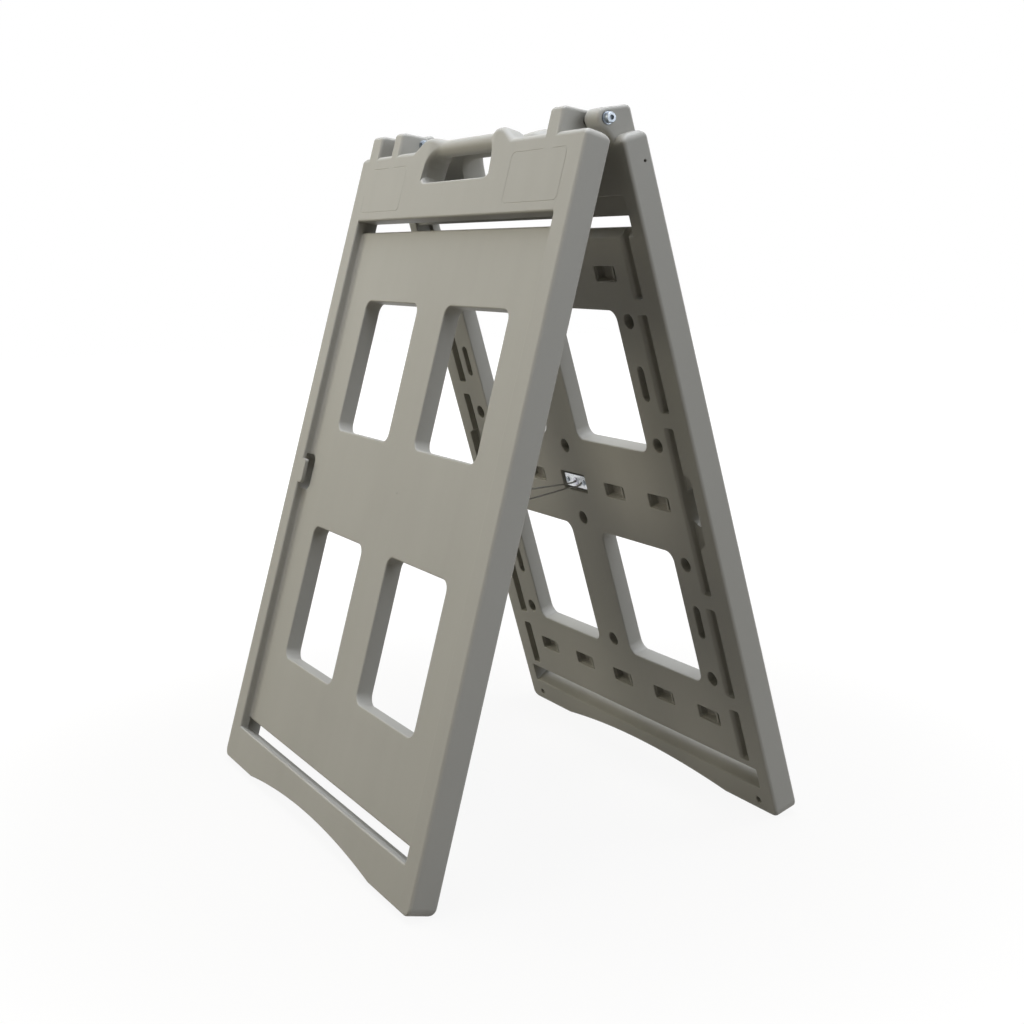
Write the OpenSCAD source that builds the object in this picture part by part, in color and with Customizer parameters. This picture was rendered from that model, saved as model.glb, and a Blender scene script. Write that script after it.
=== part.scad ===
// Folding pavement sign. Two moulded sides hang from two bolted hinges at the head
// and a pair of cords stops them from spreading further when the sign stands open.
// X runs across the sign, Y from front to rear and Z up. The origin is on the ground
// under the middle. Both sides are the same moulding: the rear one is turned half
// round about Z, so each hinge has one side's fork and the other side's tongue.
// A side is drawn in its own frame: u across, w into it from its outer face, v up.

/* [Sides] */
// Width of each side
side_w = 635; // [600:5:700]
// Height of each side from its feet to the top of its header
side_h = 942; // [900:1:1000]
// Thickness of each side
side_t = 37; // [34:1:42]
// Angle of each side from upright when the sign is open
lean = 15.6; // [13:0.1:18]
// Gap between the inner faces when the sign is folded flat
fold_gap = 1; // [0.6:0.1:2]

/* [Edges] */
// Radius along the outer top edge of the header
top_out_r = 9; // [3:0.5:12]
// Radius along the inner top edge of the header
top_in_r = 13; // [5:0.5:16]
// Radius along the outer edge of the feet
foot_out_r = 2; // [1:0.5:5]
// Radius along the inner edge of the feet, on which the sign stands
foot_in_r = 7; // [3:0.5:10]
// Radius of the two top corners, seen from the front
head_corner_r = 10; // [5:1:16]
// Radius of the two bottom corners, seen from the front
foot_corner_r = 13; // [5:1:20]
// Radius along the long outer edges of the stiles
stile_edge_r = 4.5; // [2:0.5:7]

/* [Foot bar] */
// Height of the foot bar at the outer face
foot_h = 52; // [46:1:58]
// How far the top of the foot bar falls towards the inner face
foot_fall = 17; // [10:1:22]
// Length of each flat foot
foot_flat = 112.5; // [80:0.5:150]
// Rise of the arch between the feet
arch_rise = 15; // [5:1:20]
// Radius of the drain holes near the ends of the foot bar
drain_r = 4; // [3:0.5:5]
// Distance of the drain holes from the edge of the side
drain_in = 34.5; // [30:0.5:38]
// Height of the drain holes above the feet
drain_v = 18; // [15:1:22]

/* [Header] */
// Height of the header at the outer face
header_h = 103; // [98:1:110]
// Height of the sunk strip along the foot of the header, on the inner face
strip_h = 26; // [16:1:32]
// Depth of the sunk strip
strip_d = 4; // [2:0.5:6]
// Depth of the fine line that frames each end of the header
line_d = 0.6; // [0.4:0.1:1]
// Width of the fine line
line_t = 1.2; // [0.8:0.1:2]
// Distance of the line's outer end from the edge of the side
line_in = 34; // [28:1:40]
// Length of each framed area
line_l = 132; // [100:1:136]
// Height of each framed area
line_h = 68; // [50:1:72]
// Distance of the framed areas above the header's underside
line_up = 13; // [8:1:18]

/* [Insert field] */
// Width of the stile beside the field
stile_w = 34.5; // [30:0.5:40]
// Depth of the recessed field below the outer face
recess_d = 13; // [9:0.5:15]
// Height of the slot above the field
top_slot = 14.5; // [12:0.5:18]
// Height of the slot below the field
low_slot = 12.6; // [11:0.2:18]
// Rise of the header's underside towards the inner face, as an angle
header_draft = 7; // [4:0.5:9]
// Rise of the field's top and bottom edges towards the inner face, as an angle
field_draft = 9; // [4:0.5:11]
// How far the slots run on behind the stiles
slot_under = 9; // [4:0.5:14]
// Height of the bevel along the top of the field, on the inner face
bevel_h = 12; // [6:0.5:16]
// Depth of that bevel
bevel_d = 10; // [5:0.5:14]

/* [Windows] */
// Width of each window
window_w = 170.5; // [150:0.5:180]
// Height of each window
window_h = 197; // [170:1:205]
// Radius of the window corners
window_r = 14; // [6:1:20]
// Width of the field between a left and a right window
mullion_w = 82.6; // [76:0.2:100]
// Height of the field between the upper and lower windows
band_h = 146; // [136:1:160]
// Height of the middle of that band above the feet
band_v = 448.6; // [440:0.2:456]

/* [Moulded ties] */
// Radius of the round holes where the inner skin is drawn down to the outer one
tie_r = 10; // [7:0.5:11]
// Thickness of material left under the round and long holes
tie_floor = 4; // [3:0.5:6]
// Distance of the round holes in from the level of a window's top or bottom edge
tie_in = 13; // [8:0.5:18]
// Distance of the two round holes in the middle band from its centre line
tie_mid = 57.3; // [45:0.1:60]
// Width of the long holes
long_w = 14; // [10:0.5:16]
// Length of the long holes
long_l = 48; // [36:1:60]
// Width of the oblong pockets
pocket_w = 47; // [36:1:54]
// Height of the oblong pockets
pocket_h = 20.5; // [16:0.5:24]
// Depth of the oblong pockets
pocket_d = 14; // [8:0.5:17]
// Distance from one oblong pocket to the next in a row
pocket_pitch = 105; // [98:0.5:106]
// Thickness of the rib inside each oblong pocket
rib_t = 3; // [2:0.5:5]
// Distance of the rib from the middle of the pocket
rib_off = 13; // [8:0.5:15]
// Depth of the rib's top below the inner face
rib_sink = 4; // [2:0.5:7]
// Height of the lower row of pockets above the bottom of the field
low_row = 62; // [50:0.2:70]
// Depth of the upper row of pockets below the top of the field
high_row = 55.5; // [48:0.5:66]

/* [Grooves] */
// Width of the grooves along the stiles, on the inner face
groove_w = 16; // [10:0.5:18]
// Depth of the grooves
groove_d = 12; // [7:0.5:14]
// Length of the bridges that interrupt the grooves
bridge_l = 21; // [12:1:30]
// Distance of the lowest groove's end above the bottom of the field
groove_end = 13.4; // [8:0.2:20]
// How far the middle groove widens behind the tab
wide_w = 13; // [8:0.5:15]
// Length of the widened part
wide_l = 89; // [76:1:100]

/* [Tab] */
// How far the tab reaches over the field
tab_w = 12; // [8:0.5:16]
// Height of the tab
tab_h = 37; // [28:1:44]
// Thickness of the tab
tab_t = 5; // [3:0.5:6]
// How far the opening behind the tab reaches past the edge of the field
tab_hole_in = 18; // [14:0.5:20]
// Height of the opening behind the tab
tab_hole_h = 55; // [48:1:66]

/* [Handle] */
// Width of the hand hole
hand_w = 196; // [170:1:210]
// Depth of the hand hole's lower edge below the top of the header
hand_sill = 50.5; // [44:0.5:56]
// Radius of the grip bar
grip_r = 12; // [10:0.5:14]
// Height of the grip bar's centre above the top of the header
grip_up = 3.5; // [2:0.5:5]
// Height of the shoulders beside the grip above the top of the header
hump_up = 17.5; // [17:0.5:20]
// Length of the top of each shoulder
hump_l = 30; // [20:1:36]
// Length of the slope from each shoulder down to the header
hump_slope = 36; // [24:1:44]

/* [Hinges] */
// Height of the hinge line above the top of the header
axis_up = 23; // [21:0.5:26]
// Radius of the barrels
barrel_r = 13.5; // [12:0.1:14]
// Distance of the fork's outer arm from the edge of the side
fork_in = 20.5; // [16:0.5:26]
// Width of the fork's outer arm
arm_out_w = 34; // [28:1:38]
// Width of the fork's inner arm
arm_in_w = 26; // [20:1:30]
// Distance between the arms of the fork
fork_gap = 44; // [40:0.5:48]
// Width of the tongue
tongue_w = 31; // [26:0.5:34]
// Distance of the tongue from the fork's inner arm
tongue_gap = 3; // [1:0.5:5]
// Radius of the outer top corner of an arm or tongue
arm_corner_r = 7; // [4:0.5:9]
// Slope of the top of an arm or tongue
arm_slope = 7.5; // [4:0.5:10]
// Depth below the top of the header at which an arm or tongue runs into the inner face
arm_root = 12; // [10:0.5:14]
// Radial clearance between the tongue and the bush that it turns on
turn_fit = 0.05; // [0.03:0.01:0.1]
// Radial clearance of the bolt in the arms and in the bush
bolt_fit = 0.1; // [0.05:0.01:0.3]

/* [Fasteners] */
// Diameter of the hinge bolts
bolt_d = 8; // [6:0.5:8]
// Length of the hinge bolts under the head
bolt_l = 120; // [119:1:124]
// Diameter of the bolt head
bolt_head_d = 13; // [12:0.5:14]
// Height of the bolt head
bolt_head_h = 8; // [6:0.5:9]
// Width of the hexagon socket across its flats
socket_w = 6; // [4:0.5:6.5]
// Depth of the hexagon socket
socket_d = 4.5; // [3:0.5:5]
// Outer diameter of the washers
washer_d = 16; // [14.5:0.5:17]
// Thickness of the washers
washer_t = 1.6; // [1:0.2:2.4]
// Depth of the round seats for the washers under the bolt heads
seat_d = 1; // [0.5:0.5:2]
// Radial clearance round those washers
seat_fit = 1; // [0.5:0.1:1.5]
// Width of the nut across its flats
nut_w = 13; // [12:0.5:14]
// Height of the nut's hexagon
nut_h = 6; // [4:0.5:7]
// Height of the nut's round locking collar
nut_collar_h = 2; // [1:0.5:3]
// Outer diameter of the bush between the arms
bush_d = 13; // [11:0.5:14]

/* [Cord anchors] */
// Width of the anchor plate
plate_w = 54; // [50:1:58]
// Height of the anchor plate
plate_h = 20; // [18:1:22]
// Thickness of the anchor plate
plate_t = 1.4; // [1:0.2:2]
// Depth of the plate's face below the inner face
plate_sink = 3.6; // [3:0.1:5]
// Width of the gap round the plate
moat_w = 4.4; // [3:0.2:6]
// Diameter of the eyelet's flange
eyelet_d = 12; // [10:0.5:13]
// Diameter of the hole through the eyelet
eyelet_hole = 4.4; // [4.2:0.1:5]
// Height of the eyelet's flange above the plate
eyelet_h = 1.2; // [0.8:0.1:1.5]
// Distance of the plate's screws from its middle
screw_off = 21; // [20:0.5:22]
// Diameter of the plate's screws
screw_d = 4; // [3:0.5:4.5]
// Diameter of the screw heads
screw_head_d = 8; // [7:0.5:9]
// Height of the screw heads
screw_head_h = 2.2; // [1.6:0.2:2.6]
// Length of the screws under the head
screw_l = 16; // [10:0.5:16.5]
// Diameter of the cords
cord_d = 2.6; // [2:0.1:3]

/* [Hidden] */
$fn = 64;

// Overshoot of a cut past the face that it opens
cut = 1;
// Clearance between parts that touch without pressing
seat_gap = 0.02;

// Hinge line in the frame of a side, and its height above the ground
axis_v = side_h + axis_up;
axis_w = side_t + fold_gap / 2;
axis_z = foot_in_r + (axis_v - foot_in_r) * cos(lean)
    - (axis_w - side_t + foot_in_r) * sin(lean);

// Levels of the field and of its slots
half_w = side_w / 2;
field_u = half_w - stile_w;
field_low = foot_h + low_slot;
header_low = side_h - header_h;
field_top = header_low - top_slot;
field_t = side_t - recess_d;

// Centres of the windows
window_u = (mullion_w + window_w) / 2;
window_v = (band_h + window_h) / 2;

// Grooves and the holes between them and the windows
groove_out = field_u - 1;
groove_in = groove_out - groove_w;
tie_u = (window_u + window_w / 2 + groove_in) / 2;
bridge_v = [-285.6, -134.1, 123.9, 277.2];
groove_v = concat(
    [field_low + groove_end],
    [for (v = bridge_v) each [band_v + v - bridge_l / 2, band_v + v + bridge_l / 2]],
    [field_top + cut]
);

// Hinge stations across the side, measured outwards from the middle
arm_out_1 = half_w - fork_in;
arm_out_0 = arm_out_1 - arm_out_w;
arm_in_1 = arm_out_0 - fork_gap;
arm_in_0 = arm_in_1 - arm_in_w;
tongue_0 = arm_in_1 + tongue_gap;
tongue_1 = tongue_0 + tongue_w;

// Level and radius of the curve from a barrel's underside into the inner face
root_v = side_h - arm_root;
root_r = (pow(axis_v - root_v, 2) + pow(fold_gap / 2, 2) - pow(barrel_r, 2))
    / (2 * barrel_r + fold_gap);

// Depths of the anchor plate in a side
plate_face = side_t - plate_sink;
plate_back = plate_face - plate_t;

// Routes of the two cords, from the rear anchor to the front one
upper_route = [
    [0, 151, 434], [0, 141, 431], [0, 130, 429], [0, 70, 427], [0, 0, 426],
    [0, -70, 427], [0, -130, 429], [0, -141, 431], [0, -151, 434]
];
lower_route = [
    [16.6, 141.3, 431], [11, 142.2, 427.5], [4, 143.2, 424], [-3, 142, 422], [-8, 134, 420.5],
    [-8, 110, 417], [-5, 60, 411], [0, 0, 408], [5, -60, 411], [8, -110, 417],
    [8, -134, 420.5], [3, -142, 422], [-4, -143.2, 424], [-11, -142.2, 427.5], [-16.6, -141.3, 431]
];

// Points of an arc from angle a to angle b
function arc(x, y, r, a, b, steps = 6) =
    [for (i = [0 : steps]) let (t = a + (b - a) * i / steps) [x + r * cos(t), y + r * sin(t)]];

// Outline of a rectangle from (x0, y0) to (x1, y1), with one radius for each corner,
// in the order lower left, lower right, upper right, upper left
function round_rect(x0, y0, x1, y1, r) = concat(
    arc(x0 + r[0], y0 + r[0], r[0], 180, 270),
    arc(x1 - r[1], y0 + r[1], r[1], 270, 360),
    arc(x1 - r[2], y1 - r[2], r[2], 0, 90),
    arc(x0 + r[3], y1 - r[3], r[3], 90, 180)
);

// Extrudes a shape drawn in u and v through the depths w0 to w1
module through(w0, w1) {
    translate([0, w1, 0])
        rotate([90, 0, 0])
            linear_extrude(w1 - w0)
                children();
}

// Extrudes a shape drawn in w and v across the widths u0 to u1
module across(u0, u1) {
    translate([u0, 0, 0])
        rotate([90, 0, 90])
            linear_extrude(u1 - u0)
                children();
}

// Stands a side, or a piece fixed to it, in its open place at the front
module at_front() {
    translate([0, 0, axis_z])
        rotate([-lean, 0, 0])
            translate([0, -axis_w, -axis_v])
                children();
}

// Turns what stands at the front to the rear
module at_rear() {
    rotate([0, 0, 180])
        children();
}

// Slab of a side: its front outline, its rounded section across the stiles, and its
// rounded profile from the feet to the top of the header
module slab() {
    foot_u = half_w - foot_flat;
    intersection() {
        through(-cut, side_t + cut)
            polygon(concat(
                [for (i = [0 : 12]) let (u = foot_u * (i / 6 - 1)) [u, arch_rise * (1 - pow(u / foot_u, 2))]],
                arc(half_w - foot_corner_r, foot_corner_r, foot_corner_r, 270, 360),
                arc(half_w - head_corner_r, side_h - head_corner_r, head_corner_r, 0, 90),
                arc(head_corner_r - half_w, side_h - head_corner_r, head_corner_r, 90, 180),
                arc(foot_corner_r - half_w, foot_corner_r, foot_corner_r, 180, 270)
            ));
        across(-half_w - cut, half_w + cut)
            polygon(round_rect(0, 0, side_t, side_h, [foot_out_r, foot_in_r, top_in_r, top_out_r]));
        translate([0, 0, -cut])
            linear_extrude(side_h + 2 * cut)
                polygon(round_rect(-half_w, 0, half_w, side_t, [for (i = [0 : 3]) stile_edge_r]));
    }
}

// Levels of the four sloping faces at depth w: the foot bar's top, the field's bottom
// and top, and the header's underside
function sill_at(w) = foot_h - foot_fall * w / side_t;
function low_at(w) = field_low + (w - recess_d) * tan(field_draft);
function top_at(w) = field_top + (w - recess_d) * tan(field_draft);
function head_at(w) = header_low + w * tan(header_draft);

// Recessed field, with the slots above and below it that run on behind the stiles
module field_cuts() {
    far = side_t + cut;
    across(-field_u, field_u)
        polygon([
            [-cut, sill_at(-cut)],
            [recess_d, sill_at(recess_d)],
            [recess_d, head_at(recess_d)],
            [-cut, head_at(-cut)]
        ]);
    across(-field_u - slot_under, field_u + slot_under)
        polygon([
            [recess_d, sill_at(recess_d)],
            [far, sill_at(far)],
            [far, low_at(far)],
            [recess_d, field_low]
        ]);
    across(-field_u - slot_under, field_u + slot_under)
        polygon([
            [recess_d, field_top],
            [far, top_at(far)],
            [far, head_at(far)],
            [recess_d, head_at(recess_d)]
        ]);
    across(-field_u, field_u)
        polygon([
            [side_t - bevel_d, top_at(side_t - bevel_d)],
            [side_t, top_at(side_t) - bevel_h],
            [far, top_at(side_t) - bevel_h],
            [far, top_at(far) + cut],
            [side_t - bevel_d, top_at(side_t) + cut]
        ]);
}

// Four windows through the field
module windows() {
    for (x = [-1, 1], y = [-1, 1])
        translate([x * window_u, 0, band_v + y * window_v])
            through(0, side_t + cut)
                polygon(round_rect(
                    -window_w / 2, -window_h / 2, window_w / 2, window_h / 2,
                    [for (i = [0 : 3]) window_r]
                ));
}

// One round hole from the inner face, down to the tie floor
module tie(u, v) {
    translate([u, side_t + cut, v])
        rotate([90, 0, 0])
            cylinder(h = field_t - tie_floor + cut, r = tie_r);
}

// Round and long holes beside the windows and in the middle
module ties() {
    edge = window_h / 2 - tie_in;
    for (y = [-1, 1]) {
        for (x = [-1, 1], z = [-1, 1])
            tie(x * tie_u, band_v + y * window_v + z * edge);
        tie(0, band_v + y * (window_v + edge));
        tie(0, band_v + y * tie_mid);
        for (x = [-1, 1])
            translate([x * tie_u, 0, band_v + y * window_v])
                through(recess_d + tie_floor, side_t + cut)
                    polygon(round_rect(
                        -long_w / 2, -long_l / 2, long_w / 2, long_l / 2,
                        [for (i = [0 : 3]) long_w / 2 - 0.01]
                    ));
    }
}

// One oblong pocket in the inner face, with a rib standing in it
module pocket(u, v) {
    translate([u, 0, v]) {
        difference() {
            through(side_t - pocket_d, side_t + cut)
                polygon(round_rect(
                    -pocket_w / 2, -pocket_h / 2, pocket_w / 2, pocket_h / 2,
                    [for (i = [0 : 3]) 2.5]
                ));
            translate([-rib_off - rib_t / 2, side_t - pocket_d - cut, -pocket_h])
                cube([rib_t, pocket_d - rib_sink + cut, 2 * pocket_h]);
        }
    }
}

// Three rows of pockets: the middle row has the cord anchor in its centre
module pockets() {
    for (i = [-2 : 2]) {
        pocket(i * pocket_pitch, field_low + low_row);
        pocket(i * pocket_pitch, field_top - high_row);
        if (i != 0)
            pocket(i * pocket_pitch, band_v);
    }
}

// Interrupted grooves along both stiles, widened behind the tab's level and at the top
module grooves() {
    for (x = [0, 1])
        mirror([x, 0, 0]) {
            for (i = [0 : len(groove_v) / 2 - 1])
                translate([groove_in, side_t - groove_d, groove_v[2 * i]])
                    cube([groove_w, groove_d + cut, groove_v[2 * i + 1] - groove_v[2 * i]]);
            through(side_t - groove_d, side_t + cut)
                polygon([
                    [groove_out - 1, band_v - wide_l / 2 - wide_w],
                    [groove_out + wide_w, band_v - wide_l / 2],
                    [groove_out + wide_w, band_v + wide_l / 2],
                    [groove_out - 1, band_v + wide_l / 2 + wide_w / 2]
                ]);
        }
}

// Opening behind the tab, from the inner face out to the back of the tab
module tab_hole() {
    through(tab_t, side_t + cut)
        polygon(round_rect(
            -field_u - slot_under, band_v - tab_hole_h / 2,
            -field_u + tab_hole_in, band_v + tab_hole_h / 2,
            [for (i = [0 : 3]) 5]
        ));
}

// Tab that holds the edge of an insert, on the left stile as seen from outside
module tab() {
    through(0, tab_t)
        polygon(round_rect(
            -field_u - slot_under - cut, band_v - tab_h / 2,
            -field_u + tab_w, band_v + tab_h / 2,
            [0.5, 6, 6, 0.5]
        ));
}

// Hand hole, and the shoulders and grip bar above it
module hand_hole() {
    through(-cut, side_t + cut)
        polygon(round_rect(
            -hand_w / 2, side_h - hand_sill, hand_w / 2, side_h + grip_up,
            [12, 12, 1, 1]
        ));
}

module handle() {
    top = side_h + hump_up;
    for (x = [0, 1])
        mirror([x, 0, 0])
            intersection() {
                through(-cut, side_t + cut)
                    polygon([
                        [hand_w / 2 - 8, side_h + hump_up + cut],
                        [hand_w / 2 - 8, side_h],
                        [hand_w / 2 - 4, side_h - 8],
                        [hand_w / 2, side_h - 14],
                        [hand_w / 2 + hump_slope + 12, side_h - 14],
                        [hand_w / 2 + hump_slope + 8, side_h],
                        [hand_w / 2 + hump_slope, side_h + 2],
                        [hand_w / 2 + 6, top - 2],
                        [hand_w / 2, top],
                        [hand_w / 2 - 8, top]
                    ]);
                across(0, half_w)
                    polygon(round_rect(
                        2, side_h - 30, side_t - 2, top,
                        [1, 1, grip_r - 1, grip_r - 1]
                    ));
            }
    translate([-hand_w / 2 - 2, side_t / 2, side_h + grip_up])
        rotate([0, 90, 0])
            cylinder(h = hand_w + 4, r = grip_r);
    for (x = [0, 1])
        mirror([x, 0, 0])
            intersection() {
                translate([hand_w / 2 - 8 - hump_l, 0, side_h + grip_up - grip_r])
                    cube([hump_l + 8, side_t, hump_up + grip_r - grip_up]);
                across(0, half_w)
                    polygon(round_rect(
                        2, side_h + grip_up - grip_r, side_t - 2, top,
                        [for (i = [0 : 3]) grip_r - 1]
                    ));
            }
}

// Profile of an arm or tongue, from the header up and round the hinge line
function arm_profile() =
    let (
        corner_v = axis_v - (arm_corner_r - barrel_r + (axis_w - arm_corner_r) * sin(arm_slope))
            / cos(arm_slope),
        turn = atan2(axis_v - root_v, axis_w - side_t - root_r)
    )
    concat(
        [[0, side_h - header_h / 2]],
        arc(arm_corner_r, corner_v, arm_corner_r, 180, 90 + arm_slope),
        arc(axis_w, axis_v, barrel_r, 90 + arm_slope, turn - 180, 16),
        arc(side_t + root_r, root_v, root_r, turn, 180, 8),
        [[side_t, side_h - header_h / 2]]
    );

module arm(u0, u1) {
    across(u0, u1)
        polygon(arm_profile());
}

// Bore of radius r on the hinge line
module axis_bore(u0, u1, r) {
    translate([u0, axis_w, axis_v])
        rotate([0, 90, 0])
            cylinder(h = u1 - u0, r = r);
}

// Sunk strip and framing lines of the header, drain holes and the side vent
module small_cuts() {
    through(side_t - strip_d, side_t + cut)
        polygon(round_rect(
            -field_u - slot_under, head_at(side_t), field_u + slot_under, head_at(side_t) + strip_h,
            [1, 1, 8, 8]
        ));
    for (x = [0, 1])
        mirror([x, 0, 0])
            difference() {
                through(-cut, line_d)
                    polygon(round_rect(
                        half_w - line_in - line_l, header_low + line_up,
                        half_w - line_in, header_low + line_up + line_h,
                        [for (i = [0 : 3]) 8]
                    ));
                through(-2 * cut, line_d + cut)
                    polygon(round_rect(
                        half_w - line_in - line_l + line_t, header_low + line_up + line_t,
                        half_w - line_in - line_t, header_low + line_up + line_h - line_t,
                        [for (i = [0 : 3]) 8 - line_t]
                    ));
            }
    for (x = [-1, 1])
        translate([x * (half_w - drain_in), side_t + cut, drain_v])
            rotate([90, 0, 0])
                cylinder(h = 8 + cut, r = drain_r);
    translate([-half_w - cut, side_t / 3, side_h - 37])
        rotate([0, 90, 0])
            cylinder(h = 12, r = 2);
    translate([25, recess_d - cut, band_v + 10.4])
        rotate([-90, 0, 0])
            cylinder(h = 5, r = 1);
}

// Pocket of the cord anchor: a gap round a raised pad, with the pad's bores
module anchor_pocket() {
    pad_w = plate_w;
    pad_h = plate_h;
    difference() {
        through(side_t - 16, side_t + cut)
            polygon(round_rect(
                -pad_w / 2 - moat_w, band_v - pad_h / 2 - moat_w,
                pad_w / 2 + moat_w, band_v + pad_h / 2 + moat_w,
                [for (i = [0 : 3]) 3]
            ));
        translate([-pad_w / 2, 0, band_v - pad_h / 2])
            cube([pad_w, plate_back - seat_gap, pad_h]);
    }
    for (x = [-1, 1])
        translate([x * screw_off, plate_face, band_v])
            rotate([90, 0, 0])
                cylinder(h = screw_l + 1, r = screw_d / 2 + seat_gap);
    translate([0, plate_face, band_v])
        rotate([90, 0, 0])
            cylinder(h = 12, r = eyelet_hole / 2 + 1 + seat_gap);
}

// One moulded side: all openings are cut before the tab, handle and hinge arms join
module side() {
    difference() {
        union() {
            difference() {
                slab();
                field_cuts();
                windows();
                ties();
                pockets();
                grooves();
                tab_hole();
                small_cuts();
                hand_hole();
                anchor_pocket();
            }
            tab();
            handle();
            arm(-arm_out_1, -arm_out_0);
            arm(-arm_in_1, -arm_in_0);
            arm(tongue_0, tongue_1);
        }
        axis_bore(-arm_out_1 - cut, -arm_in_0 + cut, bolt_d / 2 + bolt_fit);
        axis_bore(-arm_out_1 - cut, -arm_out_1 + seat_d, washer_d / 2 + seat_fit);
        axis_bore(tongue_0 - cut, tongue_1 + cut, bush_d / 2 + turn_fit);
    }
}

module front_side() {
    color("#a5a399")
        at_front()
            side();
}

module rear_side() {
    color("#a5a399")
        at_rear()
            at_front()
                side();
}

// Frame of the left hinge: X runs along the bolt, from its head inwards
module on_axis(u) {
    translate([u, 0, axis_z])
        rotate([0, 90, 0])
            children();
}

// Stations along the bolt, from the head's seat inwards
head_seat = -arm_out_1 + seat_d;
head_under = head_seat + washer_t + seat_gap;
nut_seat = -arm_in_0 + seat_gap;

// Flat washer from its seat inwards
module washer() {
    difference() {
        cylinder(h = washer_t - seat_gap, r = washer_d / 2);
        translate([0, 0, -cut])
            cylinder(h = washer_t + 2 * cut, r = bolt_d / 2 + bolt_fit);
    }
}

// Socket head bolt with its head towards the outside
module bolt() {
    on_axis(-arm_out_1 + seat_d - washer_t) {
        difference() {
            translate([0, 0, -bolt_head_h])
                union() {
                    translate([0, 0, 0.6])
                        cylinder(h = bolt_head_h - 0.6, r = bolt_head_d / 2);
                    cylinder(h = 0.6, r1 = bolt_head_d / 2 - 0.6, r2 = bolt_head_d / 2);
                }
            translate([0, 0, -bolt_head_h - cut])
                rotate([0, 0, 30])
                    cylinder(h = socket_d + cut, r = socket_w / sqrt(3), $fn = 6);
        }
        cylinder(h = bolt_l - 1, r = bolt_d / 2);
        translate([0, 0, bolt_l - 1])
            cylinder(h = 1, r1 = bolt_d / 2, r2 = bolt_d / 2 - 1);
    }
}

module head_washer() {
    on_axis(-arm_out_1 + seat_d - washer_t + seat_gap / 2)
        washer();
}

// Bush clamped between the arms, on which the tongue turns
module bush() {
    on_axis(-arm_out_0 + seat_gap)
        difference() {
            cylinder(h = fork_gap - 2 * seat_gap, r = bush_d / 2);
            translate([0, 0, -cut])
                cylinder(h = fork_gap + 2 * cut, r = bolt_d / 2 + bolt_fit);
        }
}

module nut_washer() {
    on_axis(-arm_in_0 + seat_gap)
        washer();
}

// Lock nut: a chamfered hexagon with a round collar
module lock_nut() {
    on_axis(-arm_in_0 + washer_t + seat_gap)
        difference() {
            union() {
                intersection() {
                    cylinder(h = nut_h, r = nut_w / sqrt(3), $fn = 6);
                    cylinder(h = nut_h, r = nut_w / 2 + 0.6);
                }
                translate([0, 0, nut_h])
                    cylinder(h = nut_collar_h, r = nut_w / 2 - 1);
            }
            translate([0, 0, -cut])
                cylinder(h = nut_h + nut_collar_h + 2 * cut, r = bolt_d / 2 + seat_gap);
        }
}

module left_bolt() { color("#c9ccd0") bolt(); }

module left_head_washer() { color("#c9ccd0") head_washer(); }

module left_bush() { color("#3c3c3a") bush(); }

module left_nut_washer() { color("#c9ccd0") nut_washer(); }

module left_lock_nut() { color("#c9ccd0") lock_nut(); }

module right_bolt() { color("#c9ccd0") at_rear() bolt(); }

module right_head_washer() { color("#c9ccd0") at_rear() head_washer(); }

module right_bush() { color("#3c3c3a") at_rear() bush(); }

module right_nut_washer() { color("#c9ccd0") at_rear() nut_washer(); }

module right_lock_nut() { color("#c9ccd0") at_rear() lock_nut(); }

// Plated plate on the pad of the anchor pocket
module anchor_plate() {
    at_front()
        difference() {
            through(plate_back, plate_face)
                polygon(round_rect(
                    -plate_w / 2, band_v - plate_h / 2, plate_w / 2, band_v + plate_h / 2,
                    [for (i = [0 : 3]) 1.5]
                ));
            for (x = [-1, 1])
                translate([x * screw_off, plate_face + cut, band_v])
                    rotate([90, 0, 0])
                        cylinder(h = plate_t + 2 * cut, r = screw_d / 2 + bolt_fit);
            translate([0, plate_face + cut, band_v])
                rotate([90, 0, 0])
                    cylinder(h = plate_t + 2 * cut, r = eyelet_hole / 2 + 1 + seat_gap);
        }
}

// Flanged eyelet riveted into the middle of the plate
module eyelet() {
    at_front()
        translate([0, plate_face + eyelet_h + seat_gap, band_v])
            rotate([90, 0, 0])
                difference() {
                    union() {
                        translate([0, 0, eyelet_h / 2])
                            cylinder(h = eyelet_h / 2, r = eyelet_d / 2);
                        cylinder(h = eyelet_h / 2, r1 = eyelet_d / 2 - 1.5, r2 = eyelet_d / 2);
                        cylinder(h = eyelet_h + plate_t + 2, r = eyelet_hole / 2 + 1);
                    }
                    translate([0, 0, -cut])
                        cylinder(h = eyelet_h + plate_t + 2 + 2 * cut, r = eyelet_hole / 2);
                }
}

// Two pan head screws that hold the plate to its pad
module anchor_screws() {
    at_front()
        for (x = [-1, 1])
            translate([x * screw_off, plate_face + seat_gap, band_v])
                rotate([-90, 0, 0]) {
                    cylinder(h = screw_head_h / 2, r = screw_head_d / 2);
                    translate([0, 0, screw_head_h / 2])
                        cylinder(h = screw_head_h / 2, r1 = screw_head_d / 2, r2 = screw_head_d / 2 - 1.5);
                    translate([0, 0, -screw_l + 2])
                        cylinder(h = screw_l - 2, r = screw_d / 2);
                    translate([0, 0, -screw_l])
                        cylinder(h = 2, r1 = 0.6, r2 = screw_d / 2);
                }
}

module front_anchor_plate() { color("#bfc2c6") anchor_plate(); }

module front_eyelet() { color("#b4b6bf") eyelet(); }

module front_anchor_screws() { color("#c9ccd0") anchor_screws(); }

module rear_anchor_plate() { color("#bfc2c6") at_rear() anchor_plate(); }

module rear_eyelet() { color("#b4b6bf") at_rear() eyelet(); }

module rear_anchor_screws() { color("#c9ccd0") at_rear() anchor_screws(); }

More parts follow.
